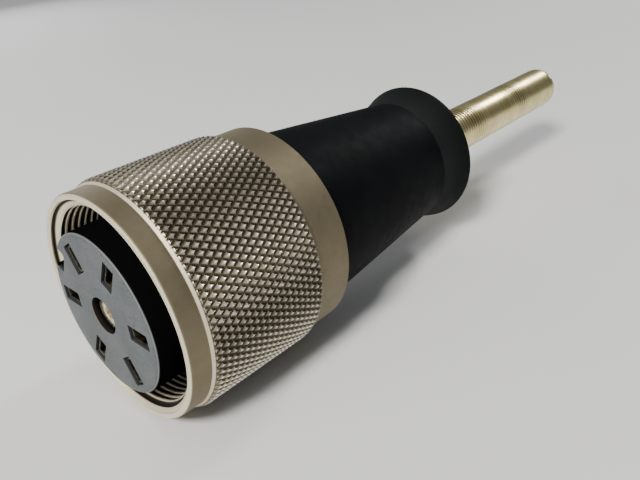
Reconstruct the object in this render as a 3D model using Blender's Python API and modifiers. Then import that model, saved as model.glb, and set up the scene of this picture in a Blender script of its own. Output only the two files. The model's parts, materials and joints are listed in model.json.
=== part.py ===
"""Plug-in electrode holder: a knurled coupling nut, a six-way blade socket, a tapered grip and a clamped rod.

Frame: +Y runs from the socket face to the rod's tip, +Z is up, and the origin is the centre of the bounding
box. Inside the script each piece is drawn about its own Z axis, with Z = distance behind the socket face, and
a parent empty lays that axis along +Y. Angles are seen from the front: 0 is +X and 90 is +Z.
"""

import math

import bmesh
import bpy
from mathutils import Matrix, Vector

MM = 0.001
OVERALL = 122.0  # socket face to rod tip
GAP = 0.3  # between pieces that rest on one another
EDGE = 0.5  # chamfer on the nut's corners
SEGMENTS = 48
FINE_SEGMENTS = 32
SMALL_SEGMENTS = 24
HOLE_SIDES = 12
HEXAGON = 6

# Coupling nut, outside
LIP_FRONT, LIP_REAR, LIP_RADIUS = 1.4, 4.5, 16.55
KNURL_FRONT, KNURL_REAR, KNURL_RADIUS = 5.4, 23.8, 17.25
NUT_REAR, REAR_BAND_RADIUS = 30.4, 16.5
# Coupling nut, inside: M30 x 1 drawn as a plain bore at its minor diameter
THREAD_MINOR, THREAD_REAR = 14.46, 13.5
NUT_RELIEF = 15.2
SHOULDER_FRONT, SHOULDER_REAR, SHOULDER_BORE = 24.0, 27.4, 13.5
NUT_COUNTERBORE = 15.1

# Socket insert and its contacts
INSERT_RADIUS, INSERT_LENGTH = 11.8, 17.0
PLATE_THICK = 3.3
SLOTS, SLOT_CIRCLE = 6, 8.3
SLOT_WIDE, SLOT_LONG = 2.3, 4.2
CENTRE_BORE, CENTRE_DEPTH, SCREW_HOLE = 2.7, 3.2, 1.8
KEYWAY_ANGLE, KEYWAY_WIDE, KEYWAY_DEEP = 150.0, 3.6, 1.9
CONTACT_WIDE, CONTACT_LONG, CONTACT_WALL = 1.9, 3.8, 0.3
CONTACT_FRONT, CONTACT_BASE, TAIL_END = 0.3, 12.8, 23.0
TAIL_WIDE, TAIL_LONG = 0.6, 3.6
SCREW_HEAD, SCREW_HEAD_FRONT, SCREW_SHANK, SCREW_SOCKET = 2.5, 0.8, 1.5, 1.6

# Barrel
BARREL_FRONT, FLANGE_REAR, FLANGE_RADIUS = 15.3, 18.3, 14.2
SLEEVE_RADIUS, BARREL_SEAT, SEAT_RADIUS = 13.2, 20.9, 12.1
RING_GROOVE_FRONT, RING_GROOVE_REAR, RING_GROOVE_RADIUS = 27.6, 28.8, 12.6
SPIGOT_FRONT, SPIGOT_REAR, SPIGOT_RADIUS, BARREL_BORE = 29.0, 40.0, 11.6, 10.2
WEB_FRONT, WEB_REAR, WIRE_HOLE = 24.0, 27.0, 1.1
CLIP_RADIUS, CLIP_SIDE_GAP, CLIP_MOUTH = 14.3, 0.1, 4.0
SEAL_THICK, SLIP_WASHER_THICK = 1.3, 1.0

# Grip
GRIP_FRONT, GRIP_FRONT_RADIUS = 29.1, 14.78
NECK_Z, NECK_RADIUS = 62.4, 11.35
GRIP_REAR, FLARE_RADIUS = 69.0, 13.0
GRIP_SPIGOT_BORE, GRIP_CAVITY, GRIP_WEB_BORE, RECESS_RADIUS = 11.9, 9.5, 7.6, 9.8
GRIP_STEP, WEB_SEAT, RECESS_FLOOR = 41.0, 50.3, 57.7

# Rod clamp
CARRIER_FRONT, CARRIER_FLANGE_REAR, CARRIER_REAR = 46.0, 50.0, 63.8
CARRIER_FLANGE, CARRIER_RADIUS = 9.2, 7.3
ROD_STOP, COLLET_SEAT, TAPER_FRONT = 49.7, 53.0, 61.0
COLLET_FRONT, COLLET_REAR, COLLET_RADIUS, COLLET_HEAD, COLLET_BORE = 53.3, 64.2, 6.0, 6.7, 4.6
LOCK_NUT_FRONT, LOCK_NUT_REAR, LOCK_NUT_RADIUS = 58.0, 60.4, 9.3
NOTCH_WIDE, NOTCH_DEEP = 1.8, 0.8
CLAMP_FRONT, CLAMP_REAR, CLAMP_WALL = 60.8, 67.2, 65.6
CLAMP_FLATS, CLAMP_BORE = 15.6, 4.9
THRUST_FRONT, THRUST_REAR, THRUST_RADIUS = 64.4, 65.4, 7.3

# Rod
ROD_RADIUS, ROD_START, TIP_ROUND = 4.5, 50.0, 1.6
TIP_SLOT_WIDE, TIP_SLOT_DEEP, TIP_SLOT_ANGLE = 1.2, 2.4, 44.0

# Wiring
WIRE_RADIUS, WIRE_STRAIGHT_TO = 0.55, 28.0
LUG_CRIMP_FRONT, LUG_OFFSET, LUG_CRIMP_RADIUS = 37.5, 6.0, 2.0
LUG_FRONT, LUG_THICK, LUG_RING, LUG_HOLE = 44.9, 0.8, 3.6, 1.9
SPRING_WASHER_RADIUS, SPRING_WASHER_THICK = 3.1, 0.9
TERMINAL_HEAD, TERMINAL_HEAD_TALL, TERMINAL_SHANK, DRIVER_SLOT = 3.3, 2.2, 1.5, 0.9


def clear_scene():
    for obj in list(bpy.data.objects):
        bpy.data.objects.remove(obj)


def collection(name):
    made = bpy.data.collections.new(name)
    bpy.context.scene.collection.children.link(made)
    return made


def material(name, colour, roughness, metallic):
    made = bpy.data.materials.new(name)
    made.use_nodes = True
    shader = made.node_tree.nodes["Principled BSDF"]
    shader.inputs["Base Color"].default_value = (*colour, 1.0)
    shader.inputs["Roughness"].default_value = roughness
    shader.inputs["Metallic"].default_value = metallic
    made.diffuse_color = (*colour, 1.0)
    return made


def add(name, data, finish=None, at=None):
    """Puts a piece in the object's collection, drawn about the main axis unless `at` says otherwise."""
    obj = bpy.data.objects.new(name, data)
    PARTS.objects.link(obj)
    obj.parent = AXIS
    if at is not None:
        obj.matrix_local = at
    if finish is not None:
        data.materials.append(finish)
    return obj


def add_cutter(name, data):
    obj = bpy.data.objects.new(name, data)
    CUTTERS.objects.link(obj)
    obj.parent = AXIS
    obj.hide_render = True
    obj.display_type = "WIRE"
    return obj


def boolean(obj, other, operation="DIFFERENCE"):
    modifier = obj.modifiers.new(operation.title(), "BOOLEAN")
    modifier.operation = operation
    modifier.object = other
    modifier.solver = "EXACT"


def turned(name, profile, finish, segments=SEGMENTS, closed=True):
    """Turns a profile of (radius, z) points, listed rear to front down the outer side, about the axis."""
    mesh = bpy.data.meshes.new(name)
    points = [(r * MM, 0.0, z * MM) for r, z in profile]
    edges = [(i, i + 1) for i in range(len(points) - 1)]
    if closed:
        edges.append((len(points) - 1, 0))
    mesh.from_pydata(points, edges, [])
    obj = add(name, mesh, finish)
    screw = obj.modifiers.new("Screw", "SCREW")
    screw.axis = "Z"
    screw.steps = segments
    screw.render_steps = segments
    screw.use_merge_vertices = True
    screw.merge_threshold = 0.00001
    screw.use_smooth_shade = False
    return obj


def ring(name, outer, inner, front, rear, finish, segments=SEGMENTS):
    return turned(name, [(outer, rear), (outer, front), (inner, front), (inner, rear)], finish, segments)


def radial(angle, radius, z=0.0):
    """A point at an angle seen from the front, in millimetres about the axis."""
    a = math.radians(angle)
    return Vector((radius * math.cos(a), -radius * math.sin(a), z))


def radial_frame(angle, radius):
    """Local X tangential, Y along the axis, Z radial."""
    out = radial(angle, 1.0)
    along = Vector((0.0, 0.0, 1.0))
    across = along.cross(out)
    turn = Matrix((across, along, out)).transposed().to_4x4()
    return Matrix.Translation(radial(angle, radius) * MM) @ turn


def box_mesh(name, frames, across, front, rear, outward):
    """A box for each radial frame: its size across, from front to rear along the axis, and outward."""
    mesh = bpy.data.meshes.new(name)
    shape = bmesh.new()
    size = Matrix.Diagonal((across * MM, (rear - front) * MM, outward * MM, 1.0))
    middle = Matrix.Translation((0.0, (front + rear) / 2 * MM, 0.0))
    for frame in frames:
        bmesh.ops.create_cube(shape, size=1.0, matrix=frame @ middle @ size)
    shape.to_mesh(mesh)
    shape.free()
    return mesh


def boxes(name, frames, across, front, rear, outward):
    return add_cutter(name, box_mesh(name, frames, across, front, rear, outward))


def cylinders(name, centres, radius, front, rear, sides):
    mesh = bpy.data.meshes.new(name)
    shape = bmesh.new()
    for centre in centres:
        place = Matrix.Translation(Vector((centre.x, centre.y, (front + rear) / 2)) * MM)
        bmesh.ops.create_cone(
            shape,
            cap_ends=True,
            segments=sides,
            radius1=radius * MM,
            radius2=radius * MM,
            depth=(rear - front) * MM,
            matrix=place,
        )
    shape.to_mesh(mesh)
    shape.free()
    return add_cutter(name, mesh)


def slot_angles():
    return [360.0 / SLOTS * k for k in range(SLOTS)]


def arc(centre_r, centre_z, radius, start, end, steps):
    """Points (radius, z) on an arc in the profile plane, angles from +radius towards +z."""
    angles = [math.radians(start + (end - start) * k / steps) for k in range(steps + 1)]
    return [(centre_r + radius * math.cos(a), centre_z + radius * math.sin(a)) for a in angles]


def flat_outline(name, outlines, thickness, finish, at):
    """A flat plate from closed outlines of (x, y) points; the later outlines are holes."""
    curve = bpy.data.curves.new(name, "CURVE")
    curve.dimensions = "2D"
    curve.fill_mode = "BOTH"
    curve.extrude = thickness / 2 * MM
    for outline in outlines:
        spline = curve.splines.new("POLY")
        spline.points.add(len(outline) - 1)
        for point, (x, y) in zip(spline.points, outline):
            point.co = (x * MM, y * MM, 0.0, 1.0)
        spline.use_cyclic_u = True
    return add(name, curve, finish, at)


def make_coupling_nut():
    turned(
        "coupling_nut",
        [
            (NUT_COUNTERBORE, NUT_REAR),
            (REAR_BAND_RADIUS - EDGE, NUT_REAR),
            (REAR_BAND_RADIUS, NUT_REAR - EDGE),
            (REAR_BAND_RADIUS, KNURL_REAR),
            (KNURL_RADIUS, KNURL_REAR - EDGE / 2),
            (KNURL_RADIUS, KNURL_FRONT),
            (LIP_RADIUS, LIP_REAR),
            (LIP_RADIUS, LIP_FRONT + EDGE),
            (LIP_RADIUS - EDGE, LIP_FRONT),
            (THREAD_MINOR + 2 * EDGE, LIP_FRONT),
            (THREAD_MINOR, LIP_FRONT + 2 * EDGE),
            (THREAD_MINOR, THREAD_REAR),
            (NUT_RELIEF, THREAD_REAR + EDGE),
            (NUT_RELIEF, SHOULDER_FRONT),
            (SHOULDER_BORE, SHOULDER_FRONT),
            (SHOULDER_BORE, SHOULDER_REAR),
            (NUT_COUNTERBORE, SHOULDER_REAR),
        ],
        NICKEL,
    )
    washer_rear = SHOULDER_FRONT - GAP
    ring("slip_washer", NUT_RELIEF - GAP, SHOULDER_BORE, washer_rear - SLIP_WASHER_THICK, washer_rear, NYLON)


def make_insert():
    frames = [radial_frame(angle, SLOT_CIRCLE) for angle in slot_angles()]
    keyway = boxes(
        "keyway_cutter",
        [radial_frame(KEYWAY_ANGLE, INSERT_RADIUS)],
        KEYWAY_WIDE,
        -1.0,
        BARREL_SEAT + 1.0,
        2 * KEYWAY_DEEP,
    )
    edge = 0.4
    insert = turned(
        "socket_insert",
        [
            (SCREW_HOLE, INSERT_LENGTH),
            (INSERT_RADIUS, INSERT_LENGTH),
            (INSERT_RADIUS, edge),
            (INSERT_RADIUS - edge, 0.0),
            (CENTRE_BORE, 0.0),
            (CENTRE_BORE, CENTRE_DEPTH),
            (SCREW_HOLE, CENTRE_DEPTH),
        ],
        BLACK,
    )
    boolean(insert, boxes("slot_cutter", frames, SLOT_WIDE, -1.0, INSERT_LENGTH + 1.0, SLOT_LONG))
    boolean(insert, keyway)

    plate_front = INSERT_LENGTH + GAP / 2
    plate = ring(
        "insert_back_plate", INSERT_RADIUS, SCREW_HOLE, plate_front, plate_front + PLATE_THICK, PHENOLIC
    )
    tail_slot = TAIL_WIDE + 2 * GAP
    boolean(plate, boxes("tail_cutter", frames, tail_slot, INSERT_LENGTH - 1.0, BARREL_SEAT + 1.0, SLOT_LONG))
    boolean(plate, keyway)


def make_contacts():
    """Each contact is a rectangular sleeve for a blade, closed at its base, with a flat solder tail."""
    for number, angle in enumerate(slot_angles(), 1):
        name = f"contact_{number}"
        place = [radial_frame(angle, SLOT_CIRCLE)]
        mesh = box_mesh(name, place, CONTACT_WIDE, CONTACT_FRONT, CONTACT_BASE, CONTACT_LONG)
        contact = add(name, mesh, BRONZE)
        inner_wide = CONTACT_WIDE - 2 * CONTACT_WALL
        inner_long = CONTACT_LONG - 2 * CONTACT_WALL
        mouth = boxes(f"{name}_mouth", place, inner_wide, -1.0, CONTACT_BASE - CONTACT_WALL, inner_long)
        boolean(contact, mouth)
        tail = boxes(f"{name}_tail", place, TAIL_WIDE, CONTACT_BASE - CONTACT_WALL / 2, TAIL_END, TAIL_LONG)
        boolean(contact, tail, "UNION")


def make_centre_screw():
    """Cheese-head screw with a hexagon socket, from the insert's counterbore into the barrel's web."""
    end = WEB_REAR + GAP
    corner = 0.3
    screw = turned(
        "centre_screw",
        [
            (0.0, end),
            (SCREW_SHANK, end),
            (SCREW_SHANK, CENTRE_DEPTH - GAP),
            (SCREW_HEAD, CENTRE_DEPTH - GAP),
            (SCREW_HEAD, SCREW_HEAD_FRONT + corner),
            (SCREW_HEAD - corner, SCREW_HEAD_FRONT),
            (0.0, SCREW_HEAD_FRONT),
        ],
        BRASS,
        FINE_SEGMENTS,
        closed=False,
    )
    across_corners = SCREW_SOCKET / math.cos(math.pi / 6)
    floor = SCREW_HEAD_FRONT + 1.2
    boolean(screw, cylinders("socket_cutter", [Vector()], across_corners / 2, -1.0, floor, HEXAGON))


def make_barrel():
    barrel = turned(
        "barrel",
        [
            (BARREL_BORE, SPIGOT_REAR),
            (SPIGOT_RADIUS, SPIGOT_REAR),
            (SPIGOT_RADIUS, SPIGOT_FRONT),
            (SLEEVE_RADIUS, SPIGOT_FRONT),
            (SLEEVE_RADIUS, RING_GROOVE_REAR),
            (RING_GROOVE_RADIUS, RING_GROOVE_REAR),
            (RING_GROOVE_RADIUS, RING_GROOVE_FRONT),
            (SLEEVE_RADIUS, RING_GROOVE_FRONT),
            (SLEEVE_RADIUS, FLANGE_REAR),
            (FLANGE_RADIUS, FLANGE_REAR),
            (FLANGE_RADIUS, BARREL_FRONT),
            (SEAT_RADIUS, BARREL_FRONT),
            (SEAT_RADIUS, BARREL_SEAT),
            (BARREL_BORE, BARREL_SEAT),
            (BARREL_BORE, WEB_FRONT),
            (SCREW_HOLE, WEB_FRONT),
            (SCREW_HOLE, WEB_REAR),
            (BARREL_BORE, WEB_REAR),
        ],
        NICKEL,
    )
    centres = [radial(angle, SLOT_CIRCLE) for angle in slot_angles()]
    front, rear = WEB_FRONT - 1.0, WEB_REAR + 1.0
    boolean(barrel, cylinders("wire_hole_cutter", centres, WIRE_HOLE, front, rear, HOLE_SIDES))
    key_inner = INSERT_RADIUS - KEYWAY_DEEP + GAP
    key_outer = (SEAT_RADIUS + SLEEVE_RADIUS) / 2
    key = boxes(
        "barrel_key",
        [radial_frame(KEYWAY_ANGLE, (key_inner + key_outer) / 2)],
        KEYWAY_WIDE - 2 * GAP,
        BARREL_FRONT + GAP,
        BARREL_SEAT + GAP,
        key_outer - key_inner,
    )
    boolean(barrel, key, "UNION")
    seal_rear = BARREL_FRONT - GAP
    ring("face_seal", FLANGE_RADIUS, SEAT_RADIUS, seal_rear - SEAL_THICK, seal_rear, RUBBER)

    clip = ring(
        "retaining_ring",
        CLIP_RADIUS,
        RING_GROOVE_RADIUS + GAP / 2,
        RING_GROOVE_FRONT + CLIP_SIDE_GAP,
        RING_GROOVE_REAR - CLIP_SIDE_GAP,
        STEEL,
    )
    front, rear = RING_GROOVE_FRONT - 1.0, RING_GROOVE_REAR + 1.0
    mouth = [radial_frame(270.0, SLEEVE_RADIUS)]
    boolean(clip, boxes("clip_mouth_cutter", mouth, CLIP_MOUTH, front, rear, 4.0))


def flare_profile():
    """The grip's outer side from its rear face to the neck: a rounded rim, then a concave sweep."""
    rim = arc(FLARE_RADIUS - 0.7, GRIP_REAR - 0.7, 0.7, 90.0, 0.0, 3)
    rim_z = rim[-1][1] - 0.6
    sweep = []
    steps = 6
    for k in range(steps + 1):
        t = k / steps
        z = rim_z + (NECK_Z - rim_z) * t
        r = NECK_RADIUS + (FLARE_RADIUS - NECK_RADIUS) * (1 - t) ** 2
        sweep.append((r, z))
    return rim + sweep


def make_grip():
    edge = 0.4
    turned(
        "grip",
        [
            (RECESS_RADIUS + edge, GRIP_REAR),
            *flare_profile(),
            (GRIP_FRONT_RADIUS, GRIP_FRONT + edge),
            (GRIP_FRONT_RADIUS - edge, GRIP_FRONT),
            (GRIP_SPIGOT_BORE, GRIP_FRONT),
            (GRIP_SPIGOT_BORE, GRIP_STEP),
            (GRIP_CAVITY, GRIP_STEP),
            (GRIP_CAVITY, WEB_SEAT),
            (GRIP_WEB_BORE, WEB_SEAT),
            (GRIP_WEB_BORE, RECESS_FLOOR),
            (RECESS_RADIUS, RECESS_FLOOR),
            (RECESS_RADIUS, GRIP_REAR - edge),
        ],
        BLACK,
    )


def make_rod_clamp():
    collet_pocket, screw_bore = 6.35, 1.8
    turned(
        "rod_carrier",
        [
            (7.0, CARRIER_REAR),
            (CARRIER_RADIUS, CARRIER_REAR),
            (CARRIER_RADIUS, CARRIER_FLANGE_REAR),
            (CARRIER_FLANGE, CARRIER_FLANGE_REAR),
            (CARRIER_FLANGE, CARRIER_FRONT),
            (screw_bore, CARRIER_FRONT),
            (screw_bore, ROD_STOP),
            (ROD_RADIUS + GAP, ROD_STOP),
            (ROD_RADIUS + GAP, COLLET_SEAT),
            (collet_pocket, COLLET_SEAT),
            (collet_pocket, TAPER_FRONT),
        ],
        BRASS,
        FINE_SEGMENTS,
    )
    collet = turned(
        "collet",
        [
            (COLLET_BORE, COLLET_REAR),
            (COLLET_HEAD, COLLET_REAR),
            (COLLET_RADIUS, TAPER_FRONT),
            (COLLET_RADIUS, COLLET_FRONT),
            (COLLET_BORE, COLLET_FRONT),
        ],
        BRONZE,
        FINE_SEGMENTS,
    )
    slit, jaw_length = 0.8, 8.0
    frames = [radial_frame(angle, (COLLET_BORE + COLLET_HEAD) / 2) for angle in (30.0, 150.0, 270.0)]
    boolean(collet, boxes("slit_cutter", frames, slit, COLLET_REAR - jaw_length, COLLET_REAR + 1.0, 4.0))

    inner = CARRIER_RADIUS + GAP
    lock_nut = ring(
        "carrier_lock_nut", LOCK_NUT_RADIUS, inner, LOCK_NUT_FRONT, LOCK_NUT_REAR, NICKEL, FINE_SEGMENTS
    )
    notch_frames = [radial_frame(angle, LOCK_NUT_RADIUS) for angle in (0.0, 90.0, 180.0, 270.0)]
    front, rear = LOCK_NUT_FRONT - 1.0, LOCK_NUT_REAR + 1.0
    boolean(lock_nut, boxes("notch_cutter", notch_frames, NOTCH_WIDE, front, rear, 2 * NOTCH_DEEP))

    ring("thrust_ring", THRUST_RADIUS, CLAMP_BORE, THRUST_FRONT, THRUST_REAR, STEEL, FINE_SEGMENTS)

    corner = CLAMP_FLATS / 2 / math.cos(math.pi / 6)
    edge = 0.7
    clamp_nut = turned(
        "clamp_nut",
        [
            (CLAMP_BORE, CLAMP_REAR),
            (corner - edge, CLAMP_REAR),
            (corner + 0.2, CLAMP_REAR - edge),
            (corner + 0.2, CLAMP_FRONT),
            (CARRIER_RADIUS + GAP, CLAMP_FRONT),
            (CARRIER_RADIUS + GAP, CLAMP_WALL),
            (CLAMP_BORE, CLAMP_WALL),
        ],
        NICKEL,
        FINE_SEGMENTS,
    )
    hexagon = cylinders("hexagon", [Vector()], corner, CLAMP_FRONT - 1.0, CLAMP_REAR + 1.0, HEXAGON)
    boolean(clamp_nut, hexagon, "INTERSECT")


def make_rod():
    rod = turned(
        "electrode_rod",
        [
            (0.0, OVERALL),
            *arc(ROD_RADIUS - TIP_ROUND, OVERALL - TIP_ROUND, TIP_ROUND, 90.0, 0.0, 5),
            (ROD_RADIUS, ROD_START + 0.5),
            (ROD_RADIUS - 0.5, ROD_START),
            (0.0, ROD_START),
        ],
        NICKEL,
        FINE_SEGMENTS,
        closed=False,
    )
    slot = boxes(
        "tip_slot_cutter",
        [radial_frame(TIP_SLOT_ANGLE, 0.0)],
        TIP_SLOT_WIDE,
        OVERALL - TIP_SLOT_DEEP,
        OVERALL + 1.0,
        4 * ROD_RADIUS,
    )
    boolean(rod, slot)


def make_wiring():
    """Six leads from the contact tails, through the web, into one crimped lug on the rod carrier."""
    bundle = 1.35
    steps = 7
    for number, angle in enumerate(slot_angles(), 1):
        start = radial(angle, SLOT_CIRCLE)
        end = radial(angle, bundle) + Vector((LUG_OFFSET, 0.0, 0.0))
        points = [start + Vector((0, 0, TAIL_END + GAP))]
        bend_end = LUG_CRIMP_FRONT - 1.5
        for k in range(steps + 1):
            t = k / steps
            ease = t * t * (3 - 2 * t)
            z = WIRE_STRAIGHT_TO + (bend_end - WIRE_STRAIGHT_TO) * t
            points.append(start.lerp(end, ease) + Vector((0, 0, z)))
        points.append(end + Vector((0, 0, LUG_CRIMP_FRONT - GAP)))
        curve = bpy.data.curves.new(f"lead_wire_{number}", "CURVE")
        curve.dimensions = "3D"
        curve.bevel_depth = WIRE_RADIUS * MM
        curve.bevel_resolution = 1
        curve.use_fill_caps = True
        spline = curve.splines.new("POLY")
        spline.points.add(len(points) - 1)
        for point, place in zip(spline.points, points):
            point.co = (*(place * MM), 1.0)
        add(f"lead_wire_{number}", curve, INSULATION)


def circle(radius, sides, x=0.0):
    return [
        (x + radius * math.cos(2 * math.pi * k / sides), radius * math.sin(2 * math.pi * k / sides))
        for k in range(sides)
    ]


def make_lug():
    """Ring tongue under the terminal screw, with a crimp tube standing forward from its tail."""
    angles = [math.radians(a) for a in range(45, 316, 15)]
    tongue = [(LUG_RING * math.cos(a), LUG_RING * math.sin(a)) for a in angles]
    tail = [(LUG_OFFSET, -LUG_CRIMP_RADIUS), (LUG_OFFSET, LUG_CRIMP_RADIUS)]
    middle = Matrix.Translation((0.0, 0.0, (LUG_FRONT + LUG_THICK / 2) * MM))
    outline = flat_outline("lug_outline", [tongue + tail, circle(LUG_HOLE, 20)], LUG_THICK, None, middle)
    bpy.context.view_layer.update()
    graph = bpy.context.evaluated_depsgraph_get()
    plate = bpy.data.meshes.new_from_object(outline.evaluated_get(graph))
    shape = bmesh.new()
    shape.from_mesh(plate)
    bmesh.ops.remove_doubles(shape, verts=shape.verts, dist=0.000001)
    shape.to_mesh(plate)
    shape.free()
    plate.materials.clear()
    lug = add("terminal_lug", plate, NICKEL, middle)
    bpy.data.objects.remove(outline)
    crimp = cylinders(
        "crimp_tube",
        [Vector((LUG_OFFSET, 0, 0))],
        LUG_CRIMP_RADIUS,
        LUG_CRIMP_FRONT,
        LUG_FRONT + LUG_THICK,
        SMALL_SEGMENTS,
    )
    boolean(lug, crimp, "UNION")

    washer_rear = LUG_FRONT - GAP
    washer_front = washer_rear - SPRING_WASHER_THICK
    ring("spring_washer", SPRING_WASHER_RADIUS, LUG_HOLE, washer_front, washer_rear, STEEL, SMALL_SEGMENTS)
    head_rear = washer_front - GAP
    head_front = head_rear - TERMINAL_HEAD_TALL
    end = ROD_STOP - GAP
    screw = turned(
        "terminal_screw",
        [
            (0.0, end),
            (TERMINAL_SHANK, end),
            (TERMINAL_SHANK, head_rear),
            (TERMINAL_HEAD, head_rear),
            (TERMINAL_HEAD, head_front + EDGE),
            (TERMINAL_HEAD - EDGE, head_front),
            (0.0, head_front),
        ],
        STEEL,
        SMALL_SEGMENTS,
        closed=False,
    )
    slot_frame = [radial_frame(90.0, 0.0)]
    front, rear = head_front - 1.0, head_front + TERMINAL_HEAD_TALL / 2
    boolean(screw, boxes("screw_slot_cutter", slot_frame, DRIVER_SLOT, front, rear, 10.0))


clear_scene()
PARTS = collection("electrode_holder")
CUTTERS = collection("cutters")
AXIS = bpy.data.objects.new("main_axis", None)
PARTS.objects.link(AXIS)
AXIS.location = (0.0, -OVERALL / 2 * MM, 0.0)
AXIS.rotation_euler = (-math.pi / 2, 0.0, 0.0)

NICKEL = material("satin_nickel", (0.50, 0.46, 0.40), 0.38, 1.0)
BLACK = material("black_moulding", (0.02, 0.02, 0.022), 0.45, 0.0)
PHENOLIC = material("brown_phenolic", (0.16, 0.07, 0.03), 0.5, 0.0)
BRONZE = material("phosphor_bronze", (0.62, 0.50, 0.33), 0.35, 1.0)
BRASS = material("brass", (0.70, 0.55, 0.28), 0.3, 1.0)
STEEL = material("zinc_steel", (0.55, 0.55, 0.56), 0.35, 1.0)
NYLON = material("white_nylon", (0.75, 0.74, 0.70), 0.5, 0.0)
RUBBER = material("seal_rubber", (0.03, 0.03, 0.03), 0.8, 0.0)
INSULATION = material("lead_insulation", (0.35, 0.05, 0.04), 0.5, 0.0)

make_coupling_nut()
make_insert()
make_contacts()
make_centre_screw()
make_barrel()
make_grip()
make_rod_clamp()
make_rod()
make_wiring()
make_lug()
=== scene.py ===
"""Looks for the electrode holder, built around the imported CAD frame.

Lengths are millimetres until a mesh is made. A piece is drawn about the main axis by its radius and its
depth, the distance behind the socket face. Angles are seen from the front: 0 is +X and 90 is +Z.
"""

import json
import math

import bmesh
import bpy
import numpy as np
from mathutils import Matrix, Vector


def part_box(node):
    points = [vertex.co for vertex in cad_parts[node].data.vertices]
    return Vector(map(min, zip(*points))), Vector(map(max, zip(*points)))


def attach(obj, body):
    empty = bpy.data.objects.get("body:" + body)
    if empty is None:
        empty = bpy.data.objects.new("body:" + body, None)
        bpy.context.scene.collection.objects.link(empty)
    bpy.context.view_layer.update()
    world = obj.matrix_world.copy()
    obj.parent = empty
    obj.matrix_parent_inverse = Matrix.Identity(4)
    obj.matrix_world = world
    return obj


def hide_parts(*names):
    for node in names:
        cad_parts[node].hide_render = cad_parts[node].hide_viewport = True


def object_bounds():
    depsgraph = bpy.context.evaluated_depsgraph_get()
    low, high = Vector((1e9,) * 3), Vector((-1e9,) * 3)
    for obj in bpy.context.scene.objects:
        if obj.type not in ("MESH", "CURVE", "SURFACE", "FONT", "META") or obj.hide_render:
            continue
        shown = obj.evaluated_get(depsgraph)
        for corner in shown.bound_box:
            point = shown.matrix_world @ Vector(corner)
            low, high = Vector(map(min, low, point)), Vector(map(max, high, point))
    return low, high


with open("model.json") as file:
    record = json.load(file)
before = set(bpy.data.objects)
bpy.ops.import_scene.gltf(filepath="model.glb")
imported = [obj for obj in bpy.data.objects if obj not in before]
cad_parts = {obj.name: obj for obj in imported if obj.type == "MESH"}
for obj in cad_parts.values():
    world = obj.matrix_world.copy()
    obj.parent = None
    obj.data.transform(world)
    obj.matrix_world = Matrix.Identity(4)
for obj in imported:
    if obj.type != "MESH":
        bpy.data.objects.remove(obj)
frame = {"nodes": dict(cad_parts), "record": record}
cad_low, cad_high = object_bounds()

MM = 0.001
FACE_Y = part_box("socket_insert")[0].y


def corners(node):
    """A CAD node's lowest and highest corners in millimetres, with depth in place of Y."""
    low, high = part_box(node)
    face = Vector((0.0, FACE_Y, 0.0))
    return (low - face) / MM, (high - face) / MM


# Coupling nut, outside
NUT_FRONT, NUT_REAR = corners("coupling_nut")[0].y, corners("coupling_nut")[1].y
NUT_RADIUS = corners("coupling_nut")[1].x
BAND_RADIUS, BAND_REAR = 16.55, 4.5
CHAMFER_SLOPE = 0.78
KNURL_FRONT, KNURL_REAR = 4.85, 23.85
REAR_BAND_RADIUS = 16.5
KNURL_STARTS = 94
KNURL_LEAD = 2.0  # between tips in the same row along the axis
KNURL_DEPTH, KNURL_FLANK = 0.37, 0.43
KNURL_STEPS = 8  # mesh steps across one diamond
# Coupling nut, inside
BORE_RADIUS, MOUTH_RADIUS, MOUTH_DEPTH = 14.46, 15.7, 1.1
NUT_WALL_MIDDLE = 16.0  # a radius between the nut's inner and outer sides
THREAD_PITCH, THREAD_DEPTH, THREAD_REAR = 1.0, 0.52, 8.8
TOOL_RING_PITCH, TOOL_RING_DEPTH, THREAD_RELIEF = 0.55, 0.16, 13.5
RELIEF_RADIUS, COUNTERBORE_RADIUS = 15.2, 15.1
SHOULDER_FRONT, SHOULDER_REAR, SHOULDER_BORE = 24.0, 27.4, 13.5
SIDE_STEPS = KNURL_STARTS * KNURL_STEPS // 4

# Socket insert
INSERT_RADIUS, INSERT_REAR = corners("socket_insert")[1].x, corners("socket_insert")[1].y
FACE_ROUND = 0.6
SLOTS, SLOT_CIRCLE, SLOT_WIDE, SLOT_LONG = 6, 8.3, 2.3, 4.2
CENTRE_BORE, CENTRE_DEPTH, SCREW_HOLE = 2.7, 3.2, 1.8
KEYWAY_ANGLE, KEYWAY_WIDE, KEYWAY_DEEP, KEYWAY_CORNER = 150.0, 3.6, 1.9, 0.35

# Grip
GRIP_FRONT, GRIP_REAR = corners("grip")[0].y, corners("grip")[1].y
GRIP_FRONT_RADIUS = corners("grip")[1].x
GRIP_CHAMFER = 0.4
NECK_DEPTH, NECK_RADIUS, FLARE_RADIUS, FLARE_ROUND = 62.4, 11.35, 13.0, 0.8
GRIP_SPIGOT_BORE, GRIP_STEP, GRIP_CAVITY = 11.9, 41.0, 9.5
GRIP_WEB, GRIP_WEB_BORE, RECESS_FLOOR, RECESS_RADIUS = 50.3, 7.6, 57.7, 9.8

# Rod
ROD_FRONT, ROD_REAR = corners("electrode_rod")[0].y, corners("electrode_rod")[1].y
ROD_RADIUS = corners("electrode_rod")[1].x
ROD_CHAMFER = 0.5
ROD_RIDGE_PITCH, ROD_RIDGE = 0.85, 0.12
TIP_ROUND, TIP_SLOT_WIDE, TIP_SLOT_DEEP, TIP_SLOT_TURN = 2.6, 1.2, 2.4, 44.0

# Clamp nut
CLAMP_FRONT, CLAMP_REAR = corners("clamp_nut")[0].y, corners("clamp_nut")[1].y
CLAMP_FLATS = 2 * corners("clamp_nut")[1].x
CLAMP_BORE, CLAMP_THREAD, CLAMP_WALL = 4.9, 7.6, 65.6


# ---------------------------------------------------------------- mesh tools


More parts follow.
